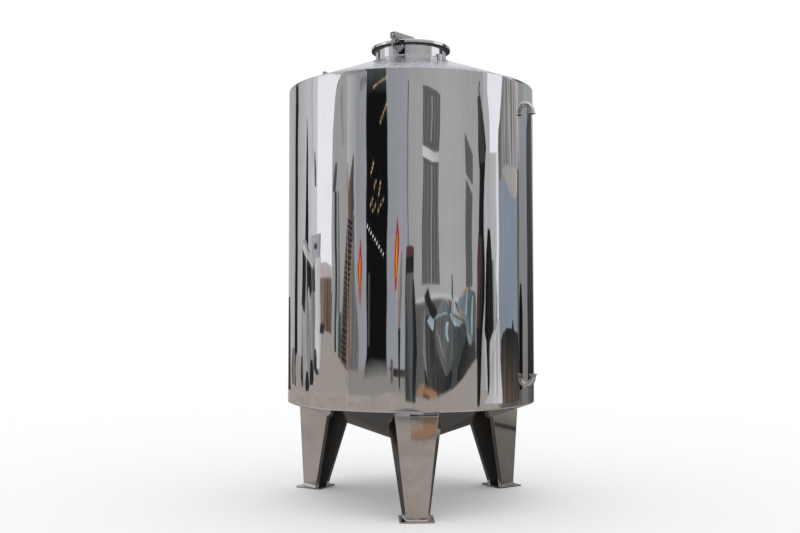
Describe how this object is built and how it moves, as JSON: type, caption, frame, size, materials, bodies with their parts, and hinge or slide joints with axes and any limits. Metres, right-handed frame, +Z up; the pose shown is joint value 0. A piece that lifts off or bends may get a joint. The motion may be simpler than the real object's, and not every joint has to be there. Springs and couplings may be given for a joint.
{
  "type": "vertical storage tank",
  "caption": "Upright cylindrical storage tank of polished stainless sheet with cone roof and bottom, hinged manway lid, gauge elbows and folded legs.",
  "frame": {"origin": "on the floor, on the axis of the shell", "axes": "+Z up along the shell's axis; +X from the axis towards the two level gauge elbows"},
  "size_m": [2.141, 2, 3.779],
  "materials": {
    "polished_sheet": "mirror polished stainless sheet",
    "leg_sheet": "bright rolled stainless sheet",
    "fittings": "satin polished stainless",
    "gasket": "matt"
  },
  "bodies": {
    "tank": {"wall_1": "polished_sheet", "wall_2": "polished_sheet", "wall_3": "polished_sheet", "wall_4": "polished_sheet", "wall_5": "polished_sheet", "wall_6": "polished_sheet", "roof_1": "polished_sheet", "roof_2": "polished_sheet", "roof_3": "polished_sheet", "roof_4": "polished_sheet", "roof_5": "polished_sheet", "roof_6": "polished_sheet", "bottom_1": "polished_sheet", "bottom_2": "polished_sheet", "bottom_3": "polished_sheet", "bottom_4": "polished_sheet", "bottom_5": "polished_sheet", "bottom_6": "polished_sheet", "leg_1": "leg_sheet", "leg_2": "leg_sheet", "leg_3": "leg_sheet", "foot_1": "leg_sheet", "foot_2": "leg_sheet", "foot_3": "leg_sheet", "manway_neck": "polished_sheet", "manway_flange": "polished_sheet", "hinge_ear": "fittings", "hinge_pin": "fittings", "hinge_stay": "fittings", "gauge_elbow_top": "fittings", "gauge_ferrule_top": "fittings", "gauge_elbow_low": "fittings", "gauge_ferrule_low": "fittings", "outlet_pipe": "fittings", "outlet_ferrule": "fittings", "roof_socket_tall": "fittings", "roof_socket_low": "fittings", "manway_gasket": "gasket"},
    "manway_lid": {"manway_lid": "polished_sheet", "lid_arm": "fittings", "lid_boss": "fittings"}
  },
  "joints": [
    {"name": "lid_hinge", "type": "hinge", "parent": "tank", "child": "manway_lid", "pos_m": [0.03527, -0.36631, 3.7055], "axis": [0.9954, 0.0958, 0], "range_deg": [0, 105]}
  ]
}
